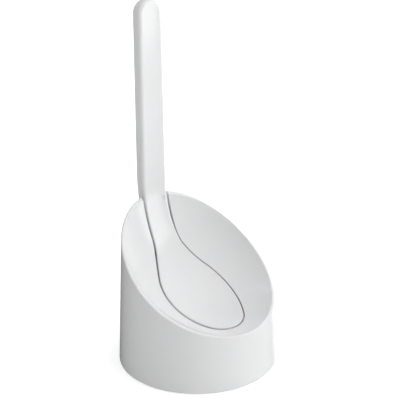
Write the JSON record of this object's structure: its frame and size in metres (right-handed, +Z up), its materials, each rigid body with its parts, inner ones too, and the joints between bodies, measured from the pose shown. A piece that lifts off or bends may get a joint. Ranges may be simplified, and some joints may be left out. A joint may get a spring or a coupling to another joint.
{
  "type": "toilet brush holder",
  "caption": "Round tapered toilet brush holder with a slanted dish top; the upright spoon-shaped handle closes it and carries the brush head.",
  "frame": {"origin": "middle of the round casing's footprint, on the floor under the rubber feet", "axes": "+Z up along the casing and the handle, -Y towards the front, which is the low side of the slanted rim, +X to the right"},
  "size_m": [0.1598, 0.1599, 0.352],
  "materials": {
    "shell_plastic": "smooth, high gloss, white",
    "handle_plastic": "smooth, high gloss, white",
    "cover_plastic": "smooth, satin gloss, white",
    "screw_steel": "plain stainless steel",
    "insert_brass": "machined, bright",
    "stud_steel": "rolled thread, bright",
    "washer_rubber": "matt black",
    "core_plastic": "smooth, satin, white",
    "bristle_nylon": "white nylon bristle",
    "base_plastic": "fine satin, white",
    "cup_plastic": "smooth, white",
    "foot_rubber": "matt grey"
  },
  "bodies": {
    "base": {"base_plate": "base_plastic", "drip_cup": "cup_plastic", "foot_1": "foot_rubber", "foot_2": "foot_rubber", "foot_3": "foot_rubber", "foot_4": "foot_rubber"},
    "casing": {"outer_shell": "shell_plastic"},
    "brush": {"handle_body": "handle_plastic", "handle_back_cover": "cover_plastic", "cover_screws": "screw_steel", "threaded_insert": "insert_brass"},
    "head_travel_ring": {"seal_washer": "washer_rubber"},
    "brush_head": {"brush_core": "core_plastic", "threaded_stud": "stud_steel", "tuft_row_1": "bristle_nylon", "tuft_row_2": "bristle_nylon", "tuft_row_3": "bristle_nylon", "tuft_row_4": "bristle_nylon", "tuft_row_5": "bristle_nylon", "tuft_tip": "bristle_nylon"}
  },
  "joints": [
    {"name": "casing_lift", "type": "slide", "parent": "base", "child": "casing", "axis": [0, 0, 1], "range_m": [0, 0.06]},
    {"name": "brush_lift", "type": "slide", "parent": "casing", "child": "brush", "axis": [0, 0, 1], "range_m": [0, 0.15]},
    {"name": "head_travel", "type": "slide", "parent": "brush", "child": "head_travel_ring", "axis": [0, 0, -1], "range_m": [0, 0.00405]},
    {"name": "head_turn", "type": "hinge", "parent": "head_travel_ring", "child": "brush_head", "pos_m": [0, -0.005, 0.045], "axis": [0, 0, -1], "range_deg": [0, 720]}
  ],
  "couplings": [
    {"joint": "head_travel", "follows": "head_turn", "m_per_rad": 0.00031831}
  ]
}
